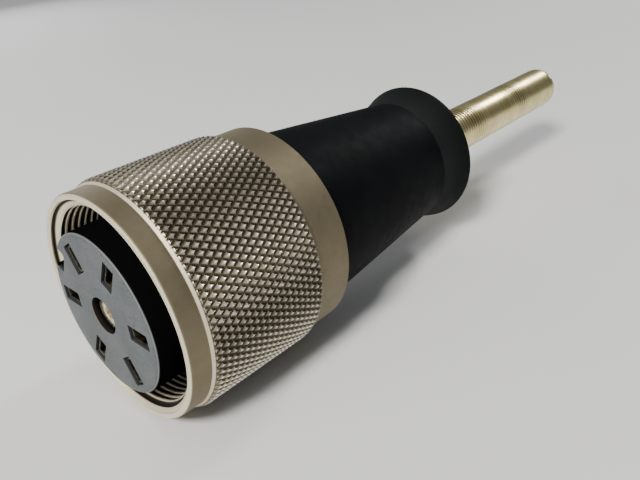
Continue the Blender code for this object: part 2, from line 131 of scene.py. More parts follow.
def make_object(name, points, faces, material, body, sharp=32.0):
    """A mesh piece from points in millimetres. Edges sharper than the given angle stay crisp."""
    mesh = bpy.data.meshes.new(name)
    mesh.from_pydata([tuple(c * MM for c in p) for p in points], [], faces)
    tidy_normals(mesh)
    obj = bpy.data.objects.new(name, mesh)
    bpy.context.scene.collection.objects.link(obj)
    mesh.materials.append(material)
    shade(mesh, sharp)
    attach(obj, body)
    return obj


def tidy_normals(mesh):
    shape = bmesh.new()
    shape.from_mesh(mesh)
    bmesh.ops.recalc_face_normals(shape, faces=shape.faces)
    shape.to_mesh(mesh)
    shape.free()


def shade(mesh, sharp):
    mesh.shade_smooth()
    mesh.set_sharp_from_angle(angle=math.radians(sharp))


def at(radius, angle, depth):
    """A point in the row frame, in millimetres, from a radius, an angle in radians and a depth."""
    return (radius * math.cos(angle), FACE_Y / MM + depth, radius * math.sin(angle))


class Skin:
    """A surface built ring by ring about the main axis."""

    def __init__(self):
        self.points = []
        self.faces = []
        self.rings = []

    def ring(self, radius, depth, columns, lean=None):
        """Adds a ring. radius is a number or one number per column; lean picks each quad's diagonal."""
        radii = np.broadcast_to(radius, (columns,))
        start = len(self.points)
        if columns == 1:
            self.points.append(at(0.0, 0.0, depth))
        else:
            turn = 2 * math.pi / columns
            self.points.extend(at(float(r), turn * k, depth) for k, r in enumerate(radii))
        self.rings.append((start, columns))
        if len(self.rings) > 1:
            self.bridge(self.rings[-2], self.rings[-1], lean)

    def bridge(self, first, second, lean=None):
        (a, na), (b, nb) = first, second
        if na == nb:
            for i in range(na):
                j = (i + 1) % na
                quad = (a + i, a + j, b + j, b + i)
                if lean is None:
                    self.faces.append(quad)
                elif lean(i):
                    self.faces.append((quad[0], quad[1], quad[2]))
                    self.faces.append((quad[0], quad[2], quad[3]))
                else:
                    self.faces.append((quad[1], quad[2], quad[3]))
                    self.faces.append((quad[1], quad[3], quad[0]))
            return
        if na < nb:
            (a, na), (b, nb) = (b, nb), (a, na)
        ratio = na // nb
        for k in range(nb):
            near = b + k
            for i in range(ratio * k, ratio * (k + 1)):
                self.faces.append((a + i, a + (i + 1) % na, near))
            if nb > 1:
                self.faces.append((a + ratio * (k + 1) % na, b + (k + 1) % nb, near))

    def close(self):
        self.bridge(self.rings[-1], self.rings[0])


def rounded(profile, radius=0.15, steps=3):
    """Rounds a closed profile's corners. A point is (radius, depth), and may add its own corner radius."""
    out = []
    count = len(profile)
    for k in range(count):
        here = Vector(profile[k][:2])
        corner = profile[k][2] if len(profile[k]) > 2 else radius
        before = Vector(profile[k - 1][:2]) - here
        after = Vector(profile[(k + 1) % count][:2]) - here
        half = before.angle(after) / 2
        if corner <= 0 or half > math.radians(87):
            out.append(tuple(here))
            continue
        reach = min(corner / math.tan(half), 0.48 * before.length, 0.48 * after.length)
        start = here + before.normalized() * reach
        end = here + after.normalized() * reach
        bisector = (before.normalized() + after.normalized()).normalized()
        centre = here + bisector * reach / math.cos(half)
        size = (start - centre).length
        for i in range(steps + 1):
            out.append(tuple(centre + size * (start - centre).slerp(end - centre, i / steps)))
    return out


def flat_plate(name, outline, front, rear, edge, material, body):
    """A plate across the axis, with rounded edges, from an outline of (x, z)."""
    curve = bpy.data.curves.new(name, "CURVE")
    curve.dimensions = "2D"
    curve.fill_mode = "BOTH"
    curve.extrude = ((rear - front) / 2 - edge) * MM
    curve.bevel_depth = edge * MM
    curve.bevel_resolution = 3
    curve.offset = -edge * MM
    spline = curve.splines.new("POLY")
    spline.points.add(len(outline) - 1)
    for point, (x, z) in zip(spline.points, outline):
        point.co = (x * MM, z * MM, 0.0, 1.0)
    spline.use_cyclic_u = True
    guide = bpy.data.objects.new(name + "_outline", curve)
    bpy.context.scene.collection.objects.link(guide)
    bpy.context.view_layer.update()
    graph = bpy.context.evaluated_depsgraph_get()
    mesh = bpy.data.meshes.new_from_object(guide.evaluated_get(graph))
    bpy.data.objects.remove(guide)
    shape = bmesh.new()
    shape.from_mesh(mesh)
    bmesh.ops.remove_doubles(shape, verts=shape.verts, dist=0.000002)
    bmesh.ops.recalc_face_normals(shape, faces=shape.faces)
    shape.to_mesh(mesh)
    shape.free()
    middle = Matrix.Translation((0.0, FACE_Y + (front + rear) / 2 * MM, 0.0))
    mesh.transform(middle @ Matrix.Rotation(math.pi / 2, 4, "X"))
    mesh.materials.clear()
    mesh.materials.append(material)
    shade(mesh, 32.0)
    obj = bpy.data.objects.new(name, mesh)
    bpy.context.scene.collection.objects.link(obj)
    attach(obj, body)
    return obj


def cut(obj, cutter):
    """Takes the cutter out of obj and removes it."""
    modifier = obj.modifiers.new("Cut", "BOOLEAN")
    modifier.operation = "DIFFERENCE"
    modifier.object = cutter
    modifier.solver = "EXACT"
    bpy.context.view_layer.update()
    graph = bpy.context.evaluated_depsgraph_get()
    mesh = bpy.data.meshes.new_from_object(obj.evaluated_get(graph))
    obj.modifiers.clear()
    obj.data = mesh
    bpy.data.objects.remove(cutter)
    shade(mesh, 32.0)


# ---------------------------------------------------------------- materials


class Paint:
    """A material under construction, with short ways to add nodes. Coordinates are in millimetres."""

    def __init__(self, name):
        self.material = bpy.data.materials.new(name)
        self.material.use_nodes = True
        self.nodes = self.material.node_tree.nodes
        self.links = self.material.node_tree.links
        self.shader = self.nodes["Principled BSDF"]
        place = self.nodes.new("ShaderNodeTexCoord").outputs["Object"]
        self.place = self.vector("SCALE", place, scale=1 / MM)

    def vector(self, operation, first, second=None, scale=None):
        node = self.nodes.new("ShaderNodeVectorMath")
        node.operation = operation
        self.put(node.inputs[0], first)
        if second is not None:
            self.put(node.inputs[1], second)
        if scale is not None:
            node.inputs["Scale"].default_value = scale
        return node.outputs["Value" if operation == "LENGTH" else "Vector"]

    def math(self, operation, first, second=0.0):
        node = self.nodes.new("ShaderNodeMath")
        node.operation = operation
        self.put(node.inputs[0], first)
        self.put(node.inputs[1], second)
        return node.outputs[0]

    def times(self, first, second):
        return self.math("MULTIPLY", first, second)

    def put(self, socket, value):
        if isinstance(value, bpy.types.NodeSocket):
            self.links.new(value, socket)
        else:
            socket.default_value = value

    def noise(self, scale, detail=3.0, place=None):
        node = self.nodes.new("ShaderNodeTexNoise")
        self.put(node.inputs["Vector"], self.place if place is None else place)
        node.inputs["Scale"].default_value = scale
        node.inputs["Detail"].default_value = detail
        node.inputs["Roughness"].default_value = 0.55
        return node.outputs["Fac"]

    def span(self, value, low, high, to_low=0.0, to_high=1.0):
        """Maps low..high to to_low..to_high smoothly, and holds the ends."""
        node = self.nodes.new("ShaderNodeMapRange")
        node.interpolation_type = "SMOOTHSTEP"
        self.put(node.inputs["Value"], value)
        node.inputs["From Min"].default_value = low
        node.inputs["From Max"].default_value = high
        node.inputs["To Min"].default_value = to_low
        node.inputs["To Max"].default_value = to_high
        return node.outputs["Result"]

    def mix(self, amount, first, second):
        node = self.nodes.new("ShaderNodeMix")
        node.data_type = "RGBA"
        self.put(node.inputs["Factor"], amount)
        for socket, value in ((node.inputs["A"], first), (node.inputs["B"], second)):
            self.put(socket, value if isinstance(value, bpy.types.NodeSocket) else (*value, 1.0))
        return node.outputs["Result"]

    def bump(self, height, strength, distance, after=None):
        """distance is the real height in millimetres that a height of 1 stands for."""
        node = self.nodes.new("ShaderNodeBump")
        node.inputs["Strength"].default_value = strength
        node.inputs["Distance"].default_value = distance * MM
        self.put(node.inputs["Height"], height)
        if after is not None:
            self.put(node.inputs["Normal"], after)
        return node.outputs["Normal"]

    def facing_rear(self):
        """The surface normal's part along the main axis: 1 faces the rod's tip, -1 the socket's front."""
        node = self.nodes.new("ShaderNodeSeparateXYZ")
        self.put(node.inputs[0], self.nodes.new("ShaderNodeNewGeometry").outputs["Normal"])
        return node.outputs[1]

    def axis_parts(self):
        """(distance from the main axis, distance along it)"""
        node = self.nodes.new("ShaderNodeSeparateXYZ")
        self.put(node.inputs[0], self.place)
        across = self.nodes.new("ShaderNodeCombineXYZ")
        self.put(across.inputs[0], node.outputs[0])
        self.put(across.inputs[2], node.outputs[2])
        return self.vector("LENGTH", across.outputs[0]), node.outputs[1]

    def turns(self):
        """The angle about the main axis, in whole turns."""
        node = self.nodes.new("ShaderNodeSeparateXYZ")
        self.put(node.inputs[0], self.place)
        angle = self.math("ARCTAN2", node.outputs[2], node.outputs[0])
        return self.math("DIVIDE", angle, 2 * math.pi)

    def rings(self, per_mm, detail=4.0):
        """Noise that runs in rings round the main axis, as a lathe tool leaves."""
        radius, along = self.axis_parts()
        node = self.nodes.new("ShaderNodeCombineXYZ")
        self.put(node.inputs[0], radius)
        self.put(node.inputs[1], along)
        return self.noise(per_mm, detail, node.outputs[0])

    def finish(self, colour, roughness, metallic, normal=None, **others):
        self.put(self.shader.inputs["Base Color"], colour)
        self.put(self.shader.inputs["Roughness"], roughness)
        self.put(self.shader.inputs["Metallic"], metallic)
        if normal is not None:
            self.put(self.shader.inputs["Normal"], normal)
        for name, value in others.items():
            self.put(self.shader.inputs[name.replace("_", " ")], value)
        return self.material


def satin_metal(name, light, dark, roughness, tool_marks=0.4, grain=0.5):
    """Plated or turned metal: cloudy colour, fine blasted grain and faint rings from the lathe."""
    paint = Paint(name)
    clouds = paint.span(paint.noise(0.22, 4.0), 0.35, 0.68)
    colour = paint.mix(clouds, dark, light)
    speck = paint.noise(5.0, 2.0)
    shine = paint.math("ADD", paint.span(paint.noise(0.8, 3.0), 0.3, 0.7, -0.05, 0.06), roughness)
    normal = paint.bump(speck, grain, 0.02)
    normal = paint.bump(paint.rings(4.0), tool_marks, 0.015, normal)
    return paint.finish(colour, shine, 1.0, normal)


def nut_metal():
    """Champagne satin nickel, with painted highlights on the lip, the chamfer, the thread's crests and the
    knurl's ridges and tips, and painted shade in the knurl's pits, on its facets that face the rear and in
    the thread's grooves.
    """
    paint = Paint("champagne_nickel")
    radius, along = paint.axis_parts()
    depth = paint.math("SUBTRACT", along, FACE_Y / MM)
    outside = paint.span(radius, NUT_WALL_MIDDLE - 0.1, NUT_WALL_MIDDLE + 0.1)
    inside = paint.math("SUBTRACT", 1.0, outside)

    # Diamond knurl
    knurled = paint.times(
        paint.span(depth, KNURL_FRONT, KNURL_FRONT + 0.1),
        paint.span(depth, KNURL_REAR, KNURL_REAR + 0.2, 1.0, 0.0),
    )
    knurled = paint.times(knurled, outside)
    # Painted glints on the knurl's tips
    tip = paint.times(paint.span(radius, NUT_RADIUS - 0.12, NUT_RADIUS - 0.04), knurled)
    # Painted shade in the knurl's pits
    pit_shade = paint.times(paint.span(radius, NUT_RADIUS - 0.34, NUT_RADIUS - 0.17, 1.0, 0.0), knurled)
    curvature = paint.nodes.new("ShaderNodeNewGeometry").outputs["Pointiness"]
    # Painted highlight along the knurl's ridges
    ridge_highlight = paint.times(paint.span(curvature, 0.515, 0.56), knurled)
    # Painted shade on the knurl's facets that face the rear
    rear_facet_shade = paint.times(paint.span(paint.facing_rear(), 0.06, 0.24), knurled)

    # Lip, and the chamfer between the band and the knurl, which both get a painted highlight
    lip = paint.span(depth, NUT_FRONT + 0.05, NUT_FRONT + 0.20, 1.0, 0.0)
    slope = paint.times(paint.math("SUBTRACT", depth, BAND_REAR), CHAMFER_SLOPE)
    below = paint.math("SUBTRACT", paint.math("ADD", slope, BAND_RADIUS), radius)
    chamfer = paint.times(
        paint.span(below, 0.02, 0.07, 1.0, 0.0),
        paint.span(depth, BAND_REAR - 0.02, BAND_REAR + 0.1),
    )
    chamfer = paint.times(chamfer, paint.span(depth, KNURL_FRONT + 0.5, KNURL_FRONT + 0.6, 1.0, 0.0))
    chamfer = paint.times(chamfer, outside)

    # Inner thread: wave is 1 on a crest and -1 in a groove, and the grooves are narrower near the mouth.
    # Crests get a painted highlight; grooves and the bore behind the thread get painted shade.
    threaded = paint.times(inside, paint.span(depth, THREAD_RELIEF, THREAD_RELIEF + 0.3, 1.0, 0.0))
    turns = paint.math("SUBTRACT", paint.math("DIVIDE", depth, THREAD_PITCH), paint.turns())
    wave = paint.math("COSINE", paint.times(turns, 2 * math.pi))
    wave = paint.math("ADD", wave, paint.span(depth, NUT_FRONT + 0.5, NUT_FRONT + 1.3, 0.8, 0.0))
    # Painted highlight on the thread's crests
    crest_highlight = paint.times(threaded, paint.span(wave, 0.2, 0.6))
    beyond = paint.span(depth, THREAD_REAR - 0.4, THREAD_REAR + 0.2)
    # Painted shade in the thread's grooves and in the bore behind the thread
    groove = paint.math("MAXIMUM", paint.span(wave, -0.1, 0.4, 1.0, 0.0), beyond)
    groove = paint.times(threaded, groove)
    groove = paint.times(groove, paint.span(depth, NUT_FRONT + 0.1, NUT_FRONT + 0.2))
    # Painted highlights on the lip, on the chamfer and on the thread's crests
    painted_highlight = paint.math("MAXIMUM", paint.math("MAXIMUM", lip, paint.times(chamfer, 0.75)), crest_highlight)

    clouds = paint.span(paint.noise(0.25, 4.0), 0.35, 0.68)
    # One plating in two tones: the plain bands are painted darker as shade, and the knurl's flanks are
    # lighter
    plain = paint.mix(clouds, (0.215, 0.182, 0.118), (0.230, 0.196, 0.130))
    flanks = paint.mix(clouds, (0.37, 0.318, 0.218), (0.43, 0.375, 0.265))
    colour = paint.mix(knurled, plain, flanks)
    # Painted light: a highlight on the knurl's ridges, shade on its facets that face the rear, highlights on
    # the lip, chamfer and thread crests, shade in the pits and in the thread's grooves, and glints on the
    # tips
    colour = paint.mix(paint.times(ridge_highlight, 0.75), colour, (0.87, 0.83, 0.72))
    colour = paint.mix(paint.times(rear_facet_shade, 0.92), colour, (0.032, 0.025, 0.017))
    colour = paint.mix(painted_highlight, colour, (0.88, 0.80, 0.62))
    colour = paint.mix(paint.times(pit_shade, 0.85), colour, (0.045, 0.036, 0.024))
    colour = paint.mix(paint.times(groove, 0.97), colour, (0.012, 0.010, 0.008))
    colour = paint.mix(tip, colour, (0.95, 0.93, 0.87))
    shine = paint.span(paint.noise(0.9, 3.0), 0.3, 0.7, 0.60, 0.66)
    shine = paint.math("SUBTRACT", shine, paint.times(knurled, 0.20))
    shine = paint.math("SUBTRACT", shine, paint.times(tip, 0.16))
    normal = paint.bump(paint.noise(4.5, 2.0), 0.7, 0.02)
    normal = paint.bump(paint.rings(5.0), 0.2, 0.012, normal)
    return paint.finish(colour, shine, 1.0, normal)


def moulding(name, light, dark, roughness, grain=0.3, speckle=0.0):
    """Moulded plastic: fine grain, slow colour drift and optional pale dust specks."""
    paint = Paint(name)
    drift = paint.span(paint.noise(0.12, 4.0), 0.35, 0.65)
    colour = paint.mix(drift, dark, light)
    if speckle:
        dust = paint.span(paint.noise(6.0, 2.0), 0.62, 0.74, 0.0, speckle)
        colour = paint.mix(dust, colour, (0.35, 0.37, 0.37))
    shine = paint.math("ADD", paint.span(paint.noise(0.5, 5.0), 0.3, 0.7, -0.04, 0.07), roughness)
    normal = paint.bump(paint.noise(3.5, 3.0), grain, 0.02)
    return paint.finish(colour, shine, 0.0, normal)


def grip_moulding():
    """Black moulding, dull on the cone and greyer on the flare behind the neck, where the grey is a painted
    sheen that fades towards the rim.
    """
    paint = Paint("black_grip")
    depth = paint.math("SUBTRACT", paint.axis_parts()[1], FACE_Y / MM)
    flare = paint.span(depth, NECK_DEPTH - 0.15, NECK_DEPTH + 0.25)
    drift = paint.span(paint.noise(0.12, 4.0), 0.35, 0.65)
    cone = paint.mix(drift, (0.0022, 0.0025, 0.0031), (0.0036, 0.0041, 0.0050))
    # Painted sheen: the flare's lighter grey stands in for the light it reflects
    painted_sheen = paint.mix(drift, (0.0095, 0.0118, 0.0115), (0.0120, 0.0148, 0.0140))
    # The painted sheen fades towards the rim
    towards_rim = paint.span(depth, NECK_DEPTH + 0.8, GRIP_REAR - 1.2, 0.0, 0.75)
    painted_sheen = paint.mix(towards_rim, painted_sheen, (0.005, 0.006, 0.006))
    colour = paint.mix(flare, cone, painted_sheen)
    shine = paint.span(paint.noise(0.5, 5.0), 0.3, 0.7, 0.56, 0.64)
    normal = paint.bump(paint.noise(3.5, 3.0), 0.2, 0.02)
    return paint.finish(colour, shine, 0.0, normal, Specular_IOR_Level=0.045)


def insert_moulding():
    """Black moulding with a pale slate front, as far as the rim's rounding turns away; a painted highlight
    on that rounding and painted shade deeper in the slots and the bore.
    """
    paint = Paint("slate_and_black_moulding")
    radius, along = paint.axis_parts()
    depth = paint.math("SUBTRACT", along, FACE_Y / MM)
    facing = paint.facing_rear()
    front = paint.times(paint.span(facing, -0.72, -0.45, 1.0, 0.0), paint.span(depth, 1.0, 1.2, 1.0, 0.0))
    drift = paint.span(paint.noise(0.15, 5.0), 0.35, 0.65)
    slate = paint.mix(drift, (0.056, 0.064, 0.068), (0.084, 0.095, 0.100))
    grit = paint.span(paint.noise(5.0, 3.0), 0.35, 0.7, 0.0, 1.0)
    slate = paint.mix(paint.times(grit, 0.4), slate, (0.150, 0.160, 0.165))
    pores = paint.span(paint.noise(2.4, 4.0), 0.56, 0.66, 0.0, 0.7)
    slate = paint.mix(pores, slate, (0.045, 0.052, 0.055))
    wall = paint.mix(paint.span(radius, 3.0, 4.0), (0.020, 0.015, 0.011), (0.046, 0.048, 0.046))
    # Painted shade: the walls of the slots and the centre bore go near black with depth
    wall = paint.mix(paint.span(depth, 0.1, 0.9), wall, (0.004, 0.004, 0.004))
    outer = paint.span(radius, INSERT_RADIUS - FACE_ROUND, INSERT_RADIUS - FACE_ROUND + 0.1)
    wall = paint.mix(outer, wall, (0.003, 0.003, 0.0035))
    # Painted highlight along the rounding of the face's rim
    rim = paint.times(paint.span(facing, -0.86, -0.74), outer)
    slate = paint.mix(paint.times(rim, 0.5), slate, (0.24, 0.25, 0.245))
    colour = paint.mix(front, wall, slate)
    normal = paint.bump(paint.noise(5.0, 3.0), 0.5, 0.03)
    return paint.finish(colour, 0.55, 0.0, normal, Specular_IOR_Level=paint.times(front, 0.4))


def contact_metal():
    """Spring bronze, dark brown and cloudy, with painted shade that deepens behind the face of the socket.
    """
    paint = Paint("dark_bronze_painted_shade")
    depth = paint.math("SUBTRACT", paint.axis_parts()[1], FACE_Y / MM)
    clouds = paint.span(paint.noise(0.9, 4.0), 0.35, 0.65)
    colour = paint.mix(clouds, (0.03, 0.026, 0.020), (0.17, 0.15, 0.11))
    # Painted shade, deepening behind the face of the socket
    colour = paint.mix(paint.span(depth, 0.5, 1.6), colour, (0.022, 0.016, 0.010))
    return paint.finish(colour, 0.35, 1.0, paint.bump(paint.noise(5.0, 2.0), 0.4, 0.02))


def rod_metal():
    """Yellowish turned alloy, with painted shade between the ridges."""
    paint = Paint("turned_rod")
    clouds = paint.span(paint.noise(0.25, 4.0), 0.35, 0.68)
    colour = paint.mix(clouds, (0.70, 0.59, 0.27), (0.86, 0.74, 0.39))
    radius = paint.axis_parts()[0]
    # Painted shade in the valleys between the ridges
    valley_shade = paint.span(radius, ROD_RADIUS - 0.8 * ROD_RIDGE, ROD_RADIUS - 0.25 * ROD_RIDGE, 0.85, 0.0)
    colour = paint.mix(valley_shade, colour, (0.13, 0.10, 0.04))
    streaks = paint.span(paint.rings(3.0), 0.3, 0.7, 0.27, 0.33)
    normal = paint.bump(paint.noise(4.0, 2.0), 0.25, 0.02)
    normal = paint.bump(paint.rings(2.5), 0.15, 0.012, normal)
    return paint.finish(colour, streaks, 1.0, normal)


def make_paints():
    nickel_light, nickel_dark = (0.40, 0.36, 0.28), (0.33, 0.29, 0.22)
    return {
        "nut": nut_metal(),
        "insert_moulding": insert_moulding(),
        "black_moulding": grip_moulding(),
        "satin_nickel": satin_metal("satin_nickel", nickel_light, nickel_dark, 0.36),
        "rod_metal": rod_metal(),
        "phosphor_bronze": contact_metal(),
        "brass": satin_metal("turned_brass", (0.90, 0.80, 0.60), (0.80, 0.68, 0.46), 0.28, 0.8),
        "zinc_steel": satin_metal("zinc_steel", (0.62, 0.62, 0.63), (0.50, 0.50, 0.52), 0.34),
        "brown_phenolic": moulding("brown_phenolic", (0.17, 0.08, 0.035), (0.11, 0.05, 0.02), 0.5, 0.5),
        "white_nylon": moulding("white_nylon", (0.74, 0.73, 0.68), (0.66, 0.64, 0.58), 0.45),
        "seal_rubber": moulding("seal_rubber", (0.022, 0.022, 0.022), (0.014, 0.014, 0.014), 0.75, 0.6, 0.1),
        "lead_insulation": moulding("lead_insulation", (0.42, 0.05, 0.04), (0.32, 0.035, 0.03), 0.35, 0.2),
    }


# ---------------------------------------------------------------- pieces


def knurl_heights(column, row):
    """Heights against the tips, 0 or below, and True where the nearer V groove is of the first family."""
    s = (column + row) / KNURL_STEPS
    t = (column - row) / KNURL_STEPS
    from_s = np.abs(s - np.round(s))
    from_t = np.abs(t - np.round(t))
    nearer = np.minimum(from_s, from_t)
    return -KNURL_DEPTH * np.clip(1 - nearer / KNURL_FLANK, 0, None), from_s < from_t


def thread_radius(angle, depth):
    """The bore's radius: a cone at the mouth, the thread and, behind it, finer tool rings."""
    turn = depth / THREAD_PITCH - angle / (2 * math.pi)
    wave = 0.5 - 0.5 * np.cos(2 * math.pi * turn)
    groove = np.clip((wave - 0.18) / 0.62, 0, 1)
    fade = np.clip((THREAD_REAR - depth) / 0.6, 0, 1)
    ring = 0.5 - 0.5 * math.cos(2 * math.pi * depth / TOOL_RING_PITCH)
    behind = THREAD_DEPTH * 0.55 + TOOL_RING_DEPTH * ring
    mouth = MOUTH_RADIUS - (MOUTH_RADIUS - BORE_RADIUS) / MOUTH_DEPTH * (depth - NUT_FRONT)
    start = min(1.0, 0.35 + (depth - NUT_FRONT) / 2 / MOUTH_DEPTH)
    return max(BORE_RADIUS, mouth) + THREAD_DEPTH * groove * fade * start + behind * (1 - fade) * 0.8


def coupling_nut(paints):
    """The knurled nut: rounded lip, plain band, chamfer, diamond knurl, rear band, and the thread inside."""
    skin = Skin()
    outer = rounded(
        [
            (COUNTERBORE_RADIUS, NUT_REAR, 0.2),
            (REAR_BAND_RADIUS - 0.35, NUT_REAR, 0.1),
            (REAR_BAND_RADIUS, NUT_REAR - 0.35, 0.1),
            (REAR_BAND_RADIUS, KNURL_REAR + 0.12, 0.1),
            (NUT_RADIUS - KNURL_DEPTH, KNURL_REAR + 0.12, 0.0),
        ],
        steps=5,
    )
    for radius, depth in outer:
        skin.ring(radius, depth, SIDE_STEPS)

    columns = KNURL_STARTS * KNURL_STEPS
    index = np.arange(columns)
    step = KNURL_LEAD / KNURL_STEPS
    rows = round((KNURL_REAR - KNURL_FRONT) / step)
    for row in range(rows + 1):
        depth = KNURL_REAR - row * step
        heights, _ = knurl_heights(index, row)
        front_chamfer = BAND_RADIUS + (depth - BAND_REAR) * CHAMFER_SLOPE
        rear_chamfer = NUT_RADIUS - 0.22 + KNURL_REAR - depth
        radius = np.minimum(NUT_RADIUS + heights, min(front_chamfer, rear_chamfer))

        def lean(i, row=row):
            _, along_s = knurl_heights(i + 0.5, row - 0.5)
            return bool(along_s)

        skin.ring(radius, depth, columns, lean if row else None)

    lip = rounded(
        [
            (BAND_RADIUS + 0.27, BAND_REAR + 0.27 / CHAMFER_SLOPE, 0.0),
            (BAND_RADIUS, BAND_REAR, 0.3),
            (BAND_RADIUS, NUT_FRONT, 0.6),
            (MOUTH_RADIUS, NUT_FRONT, 0.0),
            (MOUTH_RADIUS - 0.12, NUT_FRONT + 0.12, 0.0),
        ],
        steps=5,
    )
    for radius, depth in lip[:-1]:
        skin.ring(radius, depth, SIDE_STEPS)

    turn = 2 * math.pi / SIDE_STEPS * np.arange(SIDE_STEPS)
    thread_steps = 12
    count = round((THREAD_RELIEF - NUT_FRONT - 0.2) * thread_steps)
    for k in range(count + 1):
        depth = NUT_FRONT + 0.2 + k / thread_steps
        skin.ring(thread_radius(turn, depth), depth, SIDE_STEPS)

    bore = rounded(
        [
            (BORE_RADIUS, THREAD_RELIEF, 0.0),
            (RELIEF_RADIUS, THREAD_RELIEF + 0.5),
            (RELIEF_RADIUS, SHOULDER_FRONT),
            (SHOULDER_BORE, SHOULDER_FRONT),
            (SHOULDER_BORE, SHOULDER_REAR),
            (COUNTERBORE_RADIUS, SHOULDER_REAR),
            (COUNTERBORE_RADIUS, NUT_REAR, 0.0),
        ]
    )
    for radius, depth in bore[1:-1]:
        skin.ring(radius, depth, SIDE_STEPS)
    skin.close()
    nut = make_object(
        "knurled_nut", skin.points, skin.faces, paints["nut"], "coupling_nut", sharp=35.0
    )
    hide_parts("coupling_nut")


def circle(radius, sides, start=0.0, end=360.0):
    angles = [math.radians(start + (end - start) * k / sides) for k in range(sides)]
    return [(radius * math.cos(a), radius * math.sin(a)) for a in angles]


def turned_by(points, angle, outward=0.0):
    """Moves an outline outward along +X, then turns it to an angle in degrees."""
    a = math.radians(angle)
    return [
        ((x + outward) * math.cos(a) - z * math.sin(a), (x + outward) * math.sin(a) + z * math.cos(a))
        for x, z in points
    ]


def soft_box(long, wide, corner, steps=3):
    """A rectangle's outline with rounded corners."""
    out = []
    for k, (sx, sz) in enumerate(((1, 1), (-1, 1), (-1, -1), (1, -1))):
        for i in range(steps + 1):
            a = math.radians(90 * k + 90 * i / steps)
            out.append(
                (
                    sx * (long / 2 - corner) + corner * math.cos(a),
                    sz * (wide / 2 - corner) + corner * math.sin(a),
                )
            )
    return out


def insert_outline():
    """The insert's outline: a circle with its keyway, whose inner corners are rounded."""
    side = KEYWAY_WIDE / 2
    half = math.degrees(math.asin(side / INSERT_RADIUS))
    rim = circle(INSERT_RADIUS, 144, KEYWAY_ANGLE + half, KEYWAY_ANGLE + 360 - half)
    centre = INSERT_RADIUS - KEYWAY_DEEP + KEYWAY_CORNER
    floor = []
    for sign, bends in ((-1, (90, 60, 30, 0)), (1, (0, 30, 60, 90))):
        for bend in bends:
            a = math.radians(bend)
            across = side - KEYWAY_CORNER + KEYWAY_CORNER * math.sin(a)
            floor.append((centre - KEYWAY_CORNER * math.cos(a), sign * across))
    return rim + turned_by([(INSERT_RADIUS - 0.05, -side)] + floor, KEYWAY_ANGLE)


def socket_insert(paints):
    """The black moulding with a pale slate face, six sharp-edged slots and the stepped centre bore."""
    finish = paints["insert_moulding"]
    obj = flat_plate(
        "insert_body", insert_outline(), 0.0, INSERT_REAR, FACE_ROUND, finish, "holder"
    )
    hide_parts("socket_insert")
    slot = soft_box(SLOT_LONG, SLOT_WIDE, 0.12)
    cutters = [
        (turned_by(slot, 360 / SLOTS * k, SLOT_CIRCLE), INSERT_REAR + 1.0) for k in range(SLOTS)
    ]
    cutters += [(circle(CENTRE_BORE, 64), CENTRE_DEPTH), (circle(SCREW_HOLE, 48), INSERT_REAR + 1.0)]
    for outline, rear in cutters:
        cut(obj, flat_plate("slot_cutter", outline, -1.0, rear, 0.0, finish, "holder"))


def flare_sweep():
    """The grip's outer side from its rear face to the neck."""
    rim = []
    rear_facing, past_side, rim_steps = 90, -20, 8
    for k in range(rim_steps + 1):
        a = math.radians(rear_facing + (past_side - rear_facing) * k / rim_steps)
        rim.append(
            (
                FLARE_RADIUS - FLARE_ROUND + FLARE_ROUND * math.cos(a),
                GRIP_REAR - FLARE_ROUND + FLARE_ROUND * math.sin(a),
            )
        )
    start_radius, start_depth = rim[-1]
    sweep = []
    steps = 20
    for k in range(1, steps + 1):
        t = k / steps
        depth = start_depth + (NECK_DEPTH - start_depth) * t
        sweep.append((NECK_RADIUS + (start_radius - NECK_RADIUS) * (1 - t) ** 1.12, depth))
    return rim + sweep


def grip(paints):
    profile = [(RECESS_RADIUS + 0.5, GRIP_REAR)] + flare_sweep()
    neck = Vector((NECK_RADIUS, NECK_DEPTH))
    cone_front = Vector((GRIP_FRONT_RADIUS, GRIP_FRONT + GRIP_CHAMFER))
    steps = 24
    for k in range(1, steps):
        profile.append(tuple(neck.lerp(cone_front, k / steps)))
    profile += [
        (GRIP_FRONT_RADIUS, GRIP_FRONT + GRIP_CHAMFER),
        (GRIP_FRONT_RADIUS - GRIP_CHAMFER, GRIP_FRONT),
        (GRIP_SPIGOT_BORE, GRIP_FRONT),
        (GRIP_SPIGOT_BORE, GRIP_STEP),
        (GRIP_CAVITY, GRIP_STEP),
        (GRIP_CAVITY, GRIP_WEB),
        (GRIP_WEB_BORE, GRIP_WEB),
        (GRIP_WEB_BORE, RECESS_FLOOR),
        (RECESS_RADIUS, RECESS_FLOOR),
        (RECESS_RADIUS, GRIP_REAR - 0.5),
    ]
    columns = 160
    skin = Skin()
    for radius, depth in profile:
        skin.ring(radius, depth, columns)
    skin.close()
    black = paints["black_moulding"]
    obj = make_object("grip_shell", skin.points, skin.faces, black, "holder")
    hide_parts("grip")


def ridge_strength(depth):
    """How deep the tool ridges are, 0 to 1: deep near the grip, with one more patch further on."""
    along = (depth - GRIP_REAR) / (ROD_REAR - GRIP_REAR)
    near_grip = max(0.0, 1 - (along / 0.48) ** 3) if along > 0 else 0.6
    patch = 0.75 * math.exp(-(((along - 0.66) / 0.09) ** 2))
    return min(near_grip + patch, 1.0)


